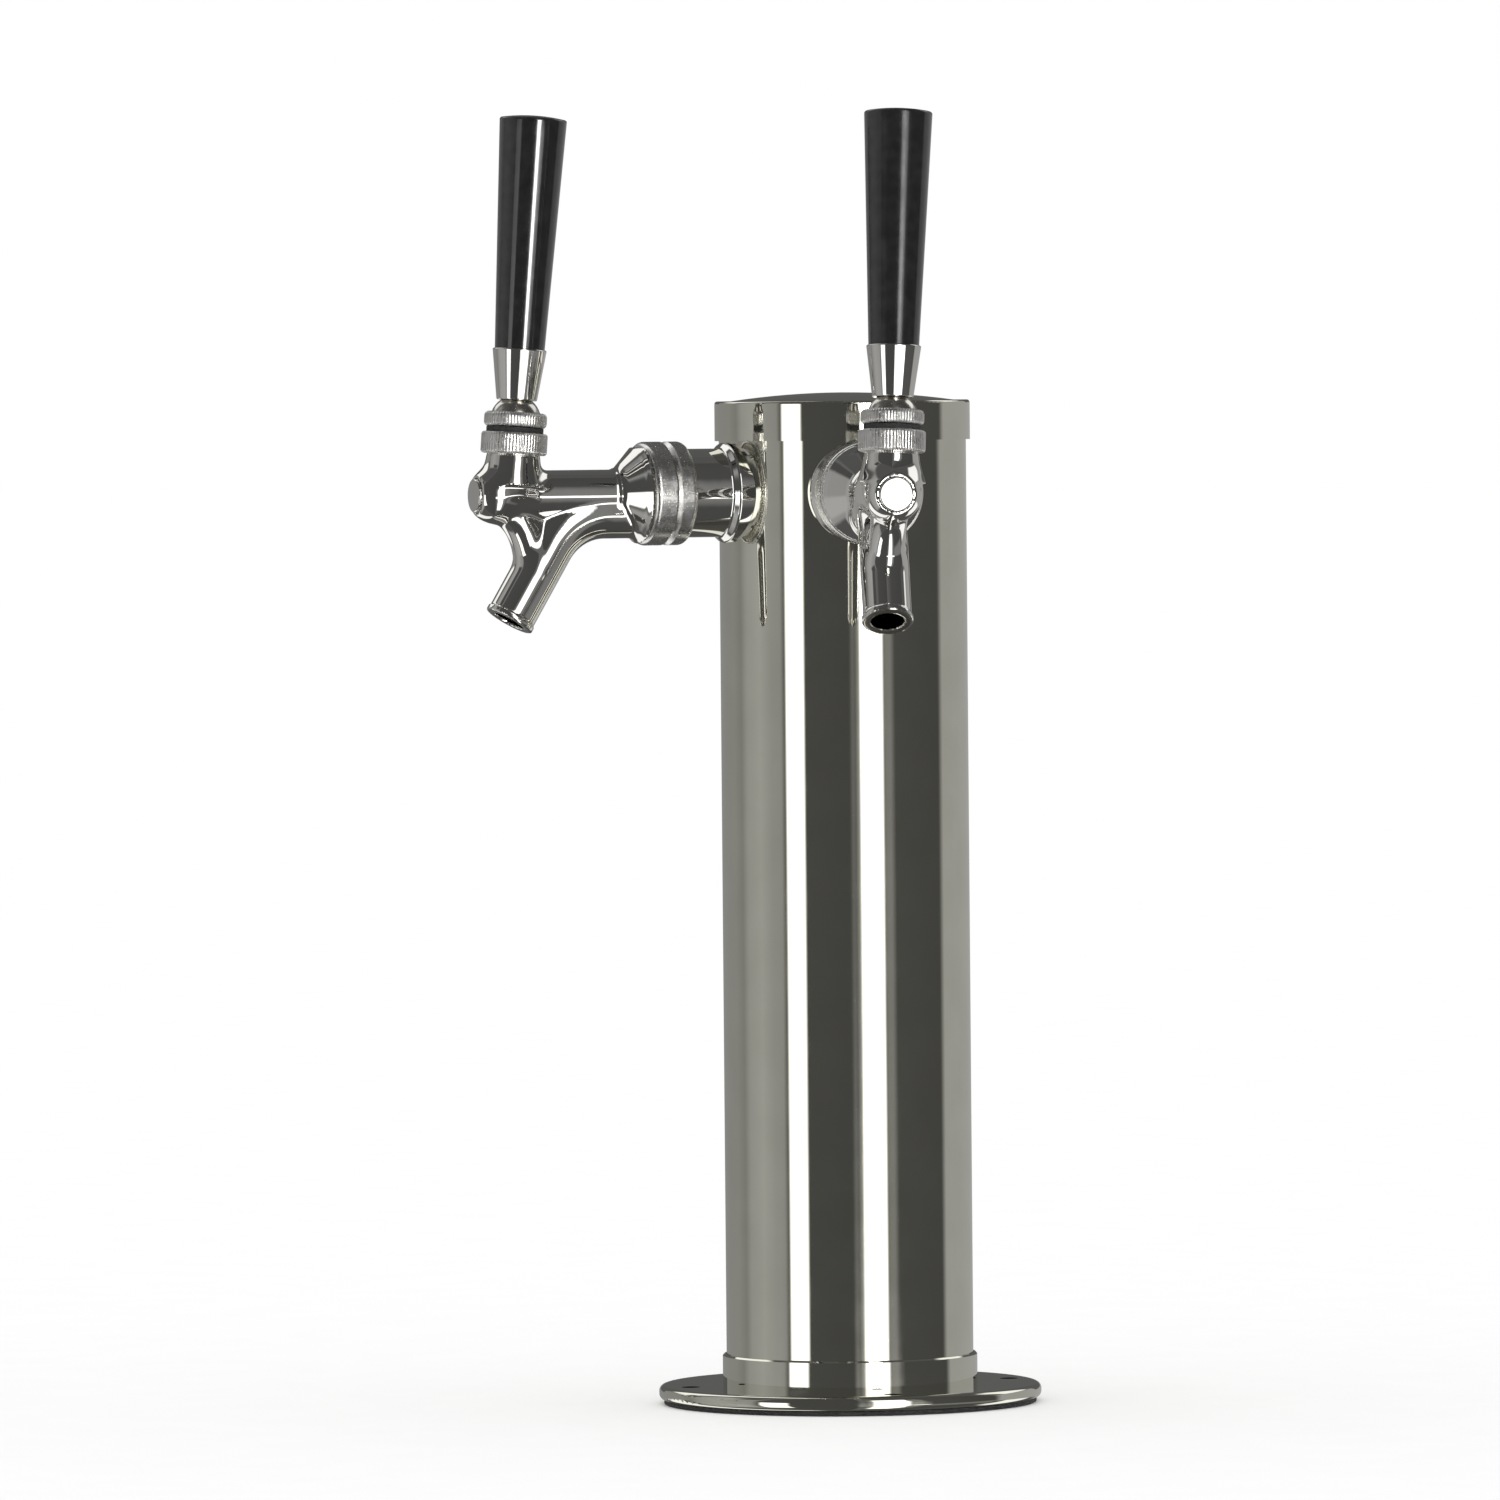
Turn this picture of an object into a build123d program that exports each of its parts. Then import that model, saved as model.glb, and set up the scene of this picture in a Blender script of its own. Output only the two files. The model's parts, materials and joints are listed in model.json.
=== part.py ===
"""A two-tap draught beer tower: a 3 inch polished column on a round base flange, with two lever taps
set 75.6 degrees apart near its top. Millimetres, +Z up. The origin is the centre of the underside of the
base gasket, on the column's axis. The front of the tower faces -Y, and the taps point 37.8 degrees to
either side of it. A tap's pieces are made in its shank's frame: X points out of the column along the
shank's axis, and Z is up from that axis."""

import math
import os

from build123d import *

# ---------------------------------------------------------------- driving dimensions
TAP_ANGLE = 37.8  # each tap's direction, in degrees either side of the front
TAP_ROLL = {"left": 0.0, "right": -2.2}  # how far its coupling nut lets each tap lean sideways, in degrees

# base
GASKET_RADIUS = 57.5
GASKET_THICK = 1.2
GASKET_INSET = 2.0  # how much wider its opening is than the flange's
FLANGE_RADIUS = 59.0
FLANGE_THICK = 4.6
FLANGE_EDGE = 1.9  # rounding of the flange's rim
FLANGE_BORE = 34.0  # radius of the opening that the beer lines pass through
COLLAR_RADIUS = 39.3  # the short ring that the column stands in
COLLAR_HEIGHT = 9.4
COLLAR_CHAMFER = 0.5
BOLT_CIRCLE = 101.6  # diameter
BOLT_COUNT = 4
BOLT_HOLE = 2.8  # radius

# column and its cap
COLUMN_RADIUS = 38.1
COLUMN_WALL = 1.5
COLUMN_TOP = 305.6
CAP_RADIUS = 39.35
CAP_BOTTOM = 296.8
CAP_RIM = 309.0  # height of the cap's flat rim
CAP_DOME = 2.5  # rise of the domed top above the rim
CAP_DOME_RADIUS = 34.5
CAP_PLATE = 2.4
CAP_EDGE = 0.9
PLUG_RADIUS = 35.6  # the cap's inner ring, which holds its O-ring
PLUG_WALL = 2.6
PLUG_DEPTH = 7.0
RING_SECTION = 1.2  # radius of the O-ring's section
RING_GROOVE = 1.5  # depth of its groove
FOAM_INNER = 26.0
FOAM_TOP = 252.0
FOAM_EASE = 0.4

# shank: lengths are distances from the column's axis
SHANK_HEIGHT = 281.0
SHANK_RADIUS = 11.1  # 7/8 inch thread
SHANK_BORE = 4.0
SHANK_HOLE = 11.3  # radius of the column's hole for it
THREAD_EASE = 0.15  # clearance of the pieces that slide along the shank
SHANK_INNER_END = 22.0
SHANK_COLLAR = 12.9
SHANK_COLLAR_START = 55.7
SHANK_FACE = 58.3
SHANK_EDGE = 0.5
COUNTERBORE = 8.2
COUNTERBORE_END = 49.5
SLEEVE_RADIUS = 13.6
SLEEVE_END = 53.3
SLEEVE_FOOT = 15.4
SLEEVE_FOOT_THICK = 1.6
SLEEVE_EDGE = 1.0
SADDLE_RADIUS = 15.6
SADDLE_END = 30.8
LOCK_NUT_FLATS = 27.0
LOCK_NUT_THICK = 6.8
LOCK_NUT_CROWN = 2.1  # its corners stand this far outside the circle in its flats
LOCK_NUT_EASE = 1.2

# coupling nut, with two beads and a groove between them, gripped by a strap wrench
NUT_START = 53.5
NUT_END = 67.5
NUT_RADIUS = 15.9
NUT_CAVITY = 13.1
NUT_LIP = 2.0
NUT_BEAD = 1.8
NUT_GROOVE_AT = 59.7
NUT_GROOVE_HALF = 1.3
NUT_LIP_OVER = 0.3  # the cutter for the groove starts this far outside the nut

# tap body
BODY_TAIL = 60.0
TAIL_RADIUS = 13.0
CHAMBER_RADIUS = 8.5
SEAT_AT = 71.0
SHOULDER_RADIUS = 15.3
SHOULDER_EDGE = 0.9
TUBE_RADIUS = 7.5
TUBE_START = 75.0
BODY_BORE = 5.5
NOSE_CENTRE = 114.4
NOSE_RADIUS = 8.6
NOSE_FACE = 120.6
NOSE_BORE_START = 112.6
NOSE_BORE = 5.35

# spout, in the tap's own upright plane
SPOUT_RADIUS = 7.4
SPOUT_BORE = 5.0
SPOUT_DROP = 6.2  # the conduit's axis below the shank's axis
SPOUT_CORNER = 90.9  # where the conduit's axis would meet the spout's axis
SPOUT_TILT = 31.0  # from upright
SPOUT_LENGTH = 37.6  # from that corner to the tip
SPOUT_BEND = 21.0
SPOUT_RIM = 1.8  # length of the raised rim at the tip
SPOUT_RIM_RADIUS = 7.8
STRUT_RADIUS = 6.1
STRUT_TOP = (111.5, 0, -4)
STRUT_MIDDLE = (104.2, 0, -11.5)
STRUT_FOOT = (20.5, 0.4)  # along and across the spout
STRUT_LEAVES = (-1, 0, -0.4)
STRUT_ARRIVES = (0.35, 0, -1)
WEB_THICK = 7.0
WEB_CORNER = (108, -14)
WEB_LOW = 20.0  # along the spout
WEB_HIGH = 4.0

# neck and lever: the pivot's place is in the shank's frame, and heights are from it, along the neck
LEAN = 4.2  # the neck leans back towards the column
PIVOT_OUT = 107.5
PIVOT_RISE = 22.8
BALL_RADIUS = 7.8
BALL_PLAY = 0.1
NECK_RADIUS = 8.1
NECK_TOP = -5.7
NECK_CUP = 6.9
CUP_FLOOR = -9.0
NECK_FLARE = [(-28, 0), (-25, 5.5), (-22, 8.3), (-17.5, 9.6), (-14.4, 9.7)]
NECK_FLARE_TOP = -11.2
RING_RADIUS = 10.15
RING_BOTTOM = -10.3
RING_TOP = -3.7
RING_EDGE = 0.9
FRICTION_RADIUS = 8.75
BONNET_RADIUS = 9.6
BONNET_BOTTOM = -2.1
BONNET_TOP = 2.5
BONNET_HOLE = 5.0
BONNET_EDGE = 1.4
ARM_LENGTH = 21.5
TIP_RADIUS = 2.4
ARM_THIN = 1.4
ARM_THICK = 2.0
ARM_ROOT = 5.0  # where the arm meets the ball, below the pivot
ARM_PLAY = 0.3
STEM_RADIUS = 4.7
STEM_TOP = 34.0
OPEN_ANGLE = 25.0  # lever travel from shut to fully open

# handle
FERRULE_BOTTOM = 6.2
FERRULE_TOP = 21.8
FERRULE_LOW_RADIUS = 6.2
FERRULE_HIGH_RADIUS = 8.3
FERRULE_EDGE = 0.4
SPIGOT_BOTTOM = 13.0
SPIGOT_RADIUS = 6.3
INSERT_RADIUS = 5.6
INSERT_TOP = 36.0
HANDLE_TOP = 93.2
HANDLE_LOW_RADIUS = 7.65
HANDLE_HIGH_RADIUS = 10.35
HANDLE_CROWN = 1.0
HANDLE_EDGE = 0.8

# shaft, which the lever's tip slides
SHAFT_FRONT = 121.5
SHAFT_RADIUS = 5.2
SHAFT_ROD = 2.9
SHAFT_BLOCK_START = 103.5
SLOT_HALF = 2.9
SLOT_WIDTH = 5.6
SLOT_FLOOR = -1.7  # from the shaft's axis
BACKING_RADIUS = 5.0
BACKING_THICK = 2.1
THREAD_END = 1.2  # of the spindle, behind its backing
SHAFT_EDGE = 0.5
WASHER_RADIUS = 7.5
WASHER_THICK = 3.0
WASHER_EDGE = 0.6

# elbow tail, inside the column
ELBOW_HEX_FLATS = 14.0
ELBOW_HEX_THICK = 6.5
ELBOW_OUT = 11.0  # distance of its upright leg from the column's axis
ELBOW_RADIUS = 3.6
ELBOW_BORE = 2.4
ELBOW_BEND = 4.2
ELBOW_HEEL = 3.0  # where the bore from the shank meets the elbow's own
BARB_LENGTH = 27.0
BARB_COUNT = 3
BARB_PITCH = 4.2
BARB_RISE = 0.9
BARB_BACK = 3.4
BARB_END = 4.0

GAP = 0.05  # clearance between parts that are screwed or pushed together
PAST = 1.0  # how far a cutting shape runs past what it cuts

FLANGE_TOP = GASKET_THICK + FLANGE_THICK
TUBE_INNER = COLUMN_RADIUS - COLUMN_WALL
SHANK = Pos(0, 0, SHANK_HEIGHT)
NECK = Pos(PIVOT_OUT, 0, PIVOT_RISE) * Rot(0, -LEAN, 0)
SIDES = {"left": Rot(0, 0, -90 - TAP_ANGLE), "right": Rot(0, 0, -90 + TAP_ANGLE)}


# ---------------------------------------------------------------- shape helpers
def disc(radius, low, high):
    """A cylinder about Z between two heights."""
    upwards = (Align.CENTER, Align.CENTER, Align.MIN)
    return Pos(0, 0, low) * Cylinder(radius, high - low, align=upwards)


def rod(radius, start, end):
    """A cylinder about X between two distances."""
    return Pos(start, 0, 0) * Rot(0, 90, 0) * disc(radius, 0, end - start)


def near(vertex, point):
    return abs(vertex.X - point[0]) + abs(vertex.Y - point[1]) < 1e-6


def turned(points, rounding=0.0, rounded=()):
    """A solid turned about X from (distance, radius) points; the corners named by rounded are filleted."""
    outline = make_face(Polyline(*points, close=True))
    if rounding:
        corners = [v for v in outline.vertices() for i in rounded if near(v, points[i])]
        outline = fillet(corners, rounding)
    return revolve(outline, Axis.X, 360)


def upright(points, rounding=0.0, rounded=()):
    """The same about Z, from (height, radius) points."""
    return Rot(0, -90, 0) * turned(points, rounding, rounded)


def tube(outer, inner, start, end, rounding=0.0, rounded=()):
    """A ring about X; its corners are numbered outer start, outer end, inner end, inner start."""
    points = [(start, outer), (end, outer), (end, inner), (start, inner)]
    return turned(points, rounding, rounded)


def ring(outer, inner, low, high, rounding=0.0):
    """A ring about Z with its two outer edges rounded."""
    return Rot(0, -90, 0) * tube(outer, inner, low, high, rounding, (0, 1))


def hexagon(flats, start, end):
    """A hexagonal prism along X."""
    outline = RegularPolygon(flats / 2, 6, major_radius=False)
    return Pos(start, 0, 0) * Rot(0, 90, 0) * extrude(outline, end - start)


# ---------------------------------------------------------------- base and column
def bolt_holes():
    places = PolarLocations(BOLT_CIRCLE / 2, BOLT_COUNT, start_angle=45)
    return [place * disc(BOLT_HOLE, -PAST, FLANGE_TOP + PAST) for place in places]


def base_gasket():
    opening = disc(FLANGE_BORE + GASKET_INSET, -PAST, GASKET_THICK + PAST)
    return disc(GASKET_RADIUS, 0, GASKET_THICK) - opening - bolt_holes()


def base_flange():
    """The plate and the collar that the column stands in."""
    plate = ring(FLANGE_RADIUS, FLANGE_BORE, GASKET_THICK, FLANGE_TOP, FLANGE_EDGE) - bolt_holes()
    collar_top = FLANGE_TOP + COLLAR_HEIGHT
    collar = ring(COLLAR_RADIUS, COLUMN_RADIUS + GAP, FLANGE_TOP - PAST, collar_top)
    top_edge = collar.edges().group_by(Axis.Z)[-1].sort_by(SortBy.RADIUS)[-1]
    socket = disc(COLUMN_RADIUS + GAP, FLANGE_TOP, collar_top + PAST)
    return plate + chamfer(top_edge, COLLAR_CHAMFER) - socket


def column_tube():
    shell = disc(COLUMN_RADIUS, FLANGE_TOP, COLUMN_TOP) - disc(TUBE_INNER, 0, COLUMN_TOP + PAST)
    for side in SIDES.values():
        shell -= side * SHANK * rod(SHANK_HOLE, SHANK_INNER_END, COLUMN_RADIUS + PAST)
    return shell


def column_cap():
    """A skirt over the column, a domed top, and an inner ring with a groove for the O-ring."""
    curve = (CAP_DOME_RADIUS**2 + CAP_DOME**2) / (2 * CAP_DOME)
    ball = Pos(0, 0, CAP_RIM + CAP_DOME - curve) * Sphere(curve)
    dome = ball & disc(CAP_DOME_RADIUS, CAP_RIM - PAST, CAP_RIM + 2 * CAP_DOME)
    shell = disc(CAP_RADIUS, CAP_BOTTOM, CAP_RIM)
    shell = fillet(shell.edges().group_by(Axis.Z)[-1], CAP_EDGE)
    under = CAP_RIM - CAP_PLATE
    shell -= disc(COLUMN_RADIUS + GAP, CAP_BOTTOM - PAST, under)
    plug = ring(PLUG_RADIUS, PLUG_RADIUS - PLUG_WALL, under - PLUG_DEPTH, under)
    groove_at = under - PLUG_DEPTH / 2
    half = RING_SECTION + GAP
    plug -= ring(PLUG_RADIUS + PAST, PLUG_RADIUS - RING_GROOVE, groove_at - half, groove_at + half)
    return shell + dome + plug


def cap_o_ring():
    height = CAP_RIM - CAP_PLATE - PLUG_DEPTH / 2
    return Pos(0, 0, height) * Torus(TUBE_INNER - RING_SECTION - GAP, RING_SECTION)


def insulation_sleeve():
    return ring(TUBE_INNER - FOAM_EASE, FOAM_INNER, FLANGE_TOP + FOAM_EASE, FOAM_TOP)


# ---------------------------------------------------------------- shank group
def shank():
    body = turned([(SHANK_INNER_END, 0), (SHANK_INNER_END, SHANK_RADIUS),
                   (SHANK_COLLAR_START, SHANK_RADIUS), (SHANK_COLLAR_START, SHANK_COLLAR),
                   (SHANK_FACE, SHANK_COLLAR), (SHANK_FACE, 0)], SHANK_EDGE, (1, 4))
    body -= rod(SHANK_BORE, SHANK_INNER_END - PAST, SHANK_FACE)
    return body - rod(COUNTERBORE, COUNTERBORE_END, SHANK_FACE + PAST)


def column_solid(radius):
    """The column as seen from a shank."""
    return Pos(0, 0, -SHANK_HEIGHT) * disc(radius, 0, COLUMN_TOP)


def shank_sleeve():
    """The outer spacer, with a flared foot cut to the curve of the column."""
    inner = SHANK_RADIUS + THREAD_EASE
    foot = COLUMN_RADIUS + SLEEVE_FOOT_THICK
    sleeve = turned([(SADDLE_END, inner), (SADDLE_END, SLEEVE_FOOT), (foot, SLEEVE_FOOT),
                     (foot + SLEEVE_FOOT_THICK, SLEEVE_RADIUS), (SLEEVE_END, SLEEVE_RADIUS),
                     (SLEEVE_END, inner)], SLEEVE_EDGE, (2, 3))
    return sleeve - column_solid(COLUMN_RADIUS + GAP)


def inner_saddle():
    """The block between the column's inner wall and the lock nut."""
    block = tube(SADDLE_RADIUS, SHANK_RADIUS + THREAD_EASE, SADDLE_END, COLUMN_RADIUS)
    return block & column_solid(TUBE_INNER - GAP)


def lock_nut():
    end = SADDLE_END - GAP
    start = end - LOCK_NUT_THICK
    corner = LOCK_NUT_FLATS / 2 + LOCK_NUT_CROWN
    crown = turned([(start, 0), (start, LOCK_NUT_FLATS / 2), (start + LOCK_NUT_EASE, corner),
                    (end, corner), (end, 0)])
    return (hexagon(LOCK_NUT_FLATS, start, end) & crown) - rod(SHANK_RADIUS + GAP, 0, SADDLE_END + PAST)


def coupling_nut():
    """A nut with two rounded beads and a groove between them."""
    nut = tube(NUT_RADIUS, SHANK_RADIUS + 2 * GAP, NUT_START, NUT_END, NUT_BEAD, (0, 1))
    lip = NUT_RADIUS + NUT_LIP_OVER
    nut -= turned([(NUT_GROOVE_AT - NUT_GROOVE_HALF, lip), (NUT_GROOVE_AT, NUT_RADIUS - NUT_GROOVE_HALF),
                   (NUT_GROOVE_AT + NUT_GROOVE_HALF, lip)])
    return nut - rod(NUT_CAVITY, NUT_START + NUT_LIP, NUT_END + PAST)


def coupling_gasket():
    return tube(SHANK_COLLAR, CHAMBER_RADIUS + 4 * GAP, SHANK_FACE + GAP, BODY_TAIL - GAP)


def elbow_path():
    corner = (ELBOW_OUT, 0, 0)
    start = (SHANK_INNER_END - PAST / 2, 0, 0)
    return FilletPolyline(start, corner, (ELBOW_OUT, 0, -BARB_LENGTH), radius=ELBOW_BEND)


def along(path, radius):
    """A round tube along a path."""
    return sweep(Plane(path @ 0, z_dir=path % 0) * Circle(radius), path)


def elbow_tail():
    """A screwed elbow whose barbed leg points down the column."""
    path = elbow_path()
    elbow = along(path, ELBOW_RADIUS)
    elbow += hexagon(ELBOW_HEX_FLATS, SHANK_INNER_END - ELBOW_HEX_THICK, SHANK_INNER_END - GAP)
    for step in range(BARB_COUNT):
        low = BARB_PITCH * step - BARB_LENGTH
        barb = upright([(low, 0), (low, ELBOW_RADIUS), (low + BARB_BACK, ELBOW_RADIUS + BARB_RISE),
                        (low + BARB_END, 0)])
        elbow += Pos(ELBOW_OUT, 0, 0) * barb
    inlet = rod(ELBOW_BORE, ELBOW_OUT + ELBOW_HEEL, SHANK_INNER_END + PAST)
    return elbow - along(path, ELBOW_BORE) - inlet


# ---------------------------------------------------------------- tap body
def spout_point(down, across=0.0):
    """A point on the tap's plane, measured down the spout's axis from its corner and forwards across it."""
    tilt = math.radians(SPOUT_TILT)
    x = SPOUT_CORNER + down * math.sin(tilt) + across * math.cos(tilt)
    z = -SPOUT_DROP - down * math.cos(tilt) + across * math.sin(tilt)
    return (x, 0, z)


def on_plane(point):
    """The same point as the two coordinates of the tap's upright plane."""
    return (point[0], point[2])


def spout_tube(radius, start, overrun=0.0):
    begin = (start, 0, -SPOUT_DROP)
    end = spout_point(SPOUT_LENGTH + overrun)
    return along(FilletPolyline(begin, spout_point(0), end, radius=SPOUT_BEND), radius)


def spout_rim():
    """The raised rim at the tip, which a dust cap slips over."""
    tip = Plane(spout_point(SPOUT_LENGTH), z_dir=Vector(*spout_point(1)) - Vector(*spout_point(0)))
    return tip.location * disc(SPOUT_RIM_RADIUS, -SPOUT_RIM, 0)


def barrel():
    """The body's straight tube: its tail, its shoulder against the nut, and its round nose."""
    shoulder = NUT_END + GAP
    shell = turned([(BODY_TAIL, 0), (BODY_TAIL, TAIL_RADIUS), (shoulder, TAIL_RADIUS),
                    (shoulder, SHOULDER_RADIUS), (TUBE_START, TUBE_RADIUS), (NOSE_CENTRE, TUBE_RADIUS),
                    (NOSE_CENTRE, 0)], SHOULDER_EDGE, (3, 4))
    shell += Pos(NOSE_CENTRE, 0, 0) * Sphere(NOSE_RADIUS)
    return shell - rod(NOSE_RADIUS, NOSE_FACE, NOSE_CENTRE + 2 * NOSE_RADIUS)


def strut():
    """The curved brace from the nose down to the spout."""
    line = Spline(STRUT_TOP, STRUT_MIDDLE, spout_point(*STRUT_FOOT), tangents=(STRUT_LEAVES, STRUT_ARRIVES))
    return along(line, STRUT_RADIUS)


def web():
    """The flat wall between the barrel, the strut and the spout."""
    low, high = on_plane(spout_point(WEB_LOW)), on_plane(spout_point(WEB_HIGH))
    outline = Polyline((TUBE_START, 0), (NOSE_CENTRE, 0), WEB_CORNER, low, high, (TUBE_START, -SPOUT_DROP),
                       close=True)
    return Pos(0, WEB_THICK / 2, 0) * extrude(make_face(Plane.XZ * outline), WEB_THICK)


def head():
    """The upright neck that holds the lever's ball."""
    top = [(NECK_FLARE_TOP, NECK_RADIUS), (NECK_TOP, NECK_RADIUS), (NECK_TOP, 0)]
    return NECK * upright(NECK_FLARE + top)


def body_bores():
    return [rod(CHAMBER_RADIUS, BODY_TAIL - PAST, SEAT_AT),
            rod(BODY_BORE, SEAT_AT - PAST, NOSE_BORE_START),
            rod(NOSE_BORE, NOSE_BORE_START - PAST, NOSE_FACE + PAST),
            spout_tube(SPOUT_BORE, SEAT_AT + SPOUT_BORE, SPOUT_BORE),
            NECK * neck_cavity()]


def tap_body():
    """One casting: barrel, spout, strut, web and neck."""
    spout = spout_tube(SPOUT_RADIUS, TUBE_START - SPOUT_BORE) + spout_rim()
    return barrel() + spout + strut() + web() + head() - body_bores()


# ---------------------------------------------------------------- neck fittings, about the neck's axis
def arm_shape(spare=0.0):
    """The lever's tapered arm, below its ball, with a clearance all round."""
    return upright([(-ARM_LENGTH, 0), (-ARM_LENGTH, ARM_THIN + spare), (-ARM_ROOT, ARM_THICK + spare),
                    (-ARM_ROOT, 0)])


def arm_sweep():
    """The slot through which the arm swings from shut to open."""
    reach = ARM_LENGTH * math.tan(math.radians(OPEN_ANGLE))
    wedge = make_face(Plane.XZ * Polyline((0, 0), (-reach, -ARM_LENGTH), (0, -ARM_LENGTH), close=True))
    ends = arm_shape(ARM_PLAY) + Rot(0, OPEN_ANGLE, 0) * arm_shape(ARM_PLAY)
    return ends + extrude(wedge, ARM_THICK + ARM_PLAY, both=True)


def neck_cavity():
    """The cup for the lever's ball and the narrower slot below it."""
    return disc(NECK_CUP, CUP_FLOOR, NECK_TOP + PAST) + arm_sweep()


def ball_clearance():
    return Sphere(BALL_RADIUS + BALL_PLAY)


def neck_ring():
    return ring(RING_RADIUS, NECK_RADIUS + GAP, RING_BOTTOM, RING_TOP, RING_EDGE)


def friction_washer():
    return disc(FRICTION_RADIUS, RING_TOP + GAP, BONNET_BOTTOM - GAP) - ball_clearance()


def bonnet():
    """The ring that holds the ball down, shaped as a rounded bead."""
    return ring(BONNET_RADIUS, BONNET_HOLE, BONNET_BOTTOM, BONNET_TOP, BONNET_EDGE) - ball_clearance()


def ball_washer():
    return disc(NECK_CUP - GAP, CUP_FLOOR, NECK_TOP - GAP) - ball_clearance() - arm_sweep()


def lever():
    """Stem, ball, arm and rounded tip in one piece."""
    tip = Pos(0, 0, -ARM_LENGTH) * Sphere(TIP_RADIUS)
    return Sphere(BALL_RADIUS) + disc(STEM_RADIUS, 0, STEM_TOP) + arm_shape() + tip


# ---------------------------------------------------------------- handle, about the neck's axis
def ferrule():
    cone = upright([(FERRULE_BOTTOM, 0), (FERRULE_BOTTOM, FERRULE_LOW_RADIUS),
                    (FERRULE_TOP, FERRULE_HIGH_RADIUS), (FERRULE_TOP, 0)], FERRULE_EDGE, (1, 2))
    cone -= disc(STEM_RADIUS + THREAD_EASE, 0, FERRULE_TOP + PAST)
    return cone - disc(SPIGOT_RADIUS + GAP, SPIGOT_BOTTOM - GAP, FERRULE_TOP + PAST) - ball_clearance()


def handle_insert():
    return ring(INSERT_RADIUS - GAP, STEM_RADIUS + GAP, SPIGOT_BOTTOM, INSERT_TOP)


def handle():
    """A tapered grip with a crowned top and a spigot that fills the ferrule."""
    crown = (HANDLE_HIGH_RADIUS**2 + HANDLE_CROWN**2) / (2 * HANDLE_CROWN)
    foot = FERRULE_TOP + GAP
    grip = upright([(foot, 0), (foot, HANDLE_LOW_RADIUS), (HANDLE_TOP, HANDLE_HIGH_RADIUS),
                    (HANDLE_TOP, 0)])
    grip &= Pos(0, 0, HANDLE_TOP - crown) * Sphere(crown)
    top_edge = grip.edges().filter_by(GeomType.CIRCLE).sort_by(SortBy.RADIUS)[1]
    grip = fillet(top_edge, HANDLE_EDGE)
    spigot = disc(SPIGOT_RADIUS, SPIGOT_BOTTOM, foot + PAST)
    return grip + spigot - disc(INSERT_RADIUS, 0, INSERT_TOP + PAST)


# ---------------------------------------------------------------- shaft, about X
def shaft():
    """The sliding spindle: a front block with a slot for the lever's tip, a thin rod and a washer seat."""
    front = tube(SHAFT_RADIUS, 0, SHAFT_BLOCK_START, SHAFT_FRONT, SHAFT_EDGE, (0, 1))
    washer_back = SEAT_AT - WASHER_THICK - 2 * GAP
    backing = rod(BACKING_RADIUS, washer_back - BACKING_THICK, washer_back)
    spindle = rod(SHAFT_ROD, washer_back - BACKING_THICK - THREAD_END, SHAFT_BLOCK_START + PAST)
    tip_out = ARM_LENGTH * math.sin(math.radians(LEAN))
    upwards = (Align.CENTER, Align.CENTER, Align.MIN)
    slot = Box(2 * SLOT_HALF, SLOT_WIDTH, 2 * NOSE_RADIUS, align=upwards)
    return front + spindle + backing - Pos(PIVOT_OUT + tip_out, 0, SLOT_FLOOR) * slot


def seat_washer():
    end = SEAT_AT - GAP
    return tube(WASHER_RADIUS, SHAFT_ROD + GAP, end - WASHER_THICK, end, WASHER_EDGE, (0,))


# ---------------------------------------------------------------- assembly
COLUMN_PARTS = [base_gasket, base_flange, column_tube, column_cap, cap_o_ring, insulation_sleeve]
SHANK_PARTS = [shank, shank_sleeve, inner_saddle, lock_nut, coupling_nut, coupling_gasket, elbow_tail]
TAP_PARTS = [tap_body, shaft, seat_washer]
NECK_PARTS = [neck_ring, friction_washer, bonnet, ball_washer, lever, ferrule, handle_insert, handle]


def export(name, shape):
    solids = shape.solids()
    whole = solids[0] if len(solids) == 1 else Compound(solids)
    export_step(whole, f"parts/{name}.step")


def main():
    os.makedirs("parts", exist_ok=True)
    for make in COLUMN_PARTS:
        export(make.__name__, make())
    fixed = {make.__name__: make() for make in SHANK_PARTS}
    rolled = {make.__name__: make() for make in TAP_PARTS}
    rolled.update({make.__name__: NECK * make() for make in NECK_PARTS})
    for side, turn in SIDES.items():
        roll = Rot(TAP_ROLL[side], 0, 0)
        for name, shape in fixed.items():
            export(f"{side}_{name}", turn * SHANK * shape)
        for name, shape in rolled.items():
            export(f"{side}_{name}", turn * SHANK * roll * shape)


if __name__ == "__main__":
    main()
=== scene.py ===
import json
import math

import bpy
import numpy as np
from mathutils import Matrix, Vector
from mathutils.noise import noise as bumps


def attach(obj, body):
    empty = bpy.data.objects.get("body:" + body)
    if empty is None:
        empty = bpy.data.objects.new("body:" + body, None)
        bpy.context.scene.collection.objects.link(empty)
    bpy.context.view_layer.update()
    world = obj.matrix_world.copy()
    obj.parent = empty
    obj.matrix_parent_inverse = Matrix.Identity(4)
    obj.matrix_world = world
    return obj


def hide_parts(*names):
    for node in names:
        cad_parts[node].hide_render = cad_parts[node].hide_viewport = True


# Looks for the two-tap draught beer tower. Metres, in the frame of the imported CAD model: +Z is up,
# the origin is under the column's axis, and the front faces -Y. Each tap is built in its own frame,
# in millimetres, with X pointing out of the column along the shank and Z up from the shank's axis.

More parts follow.
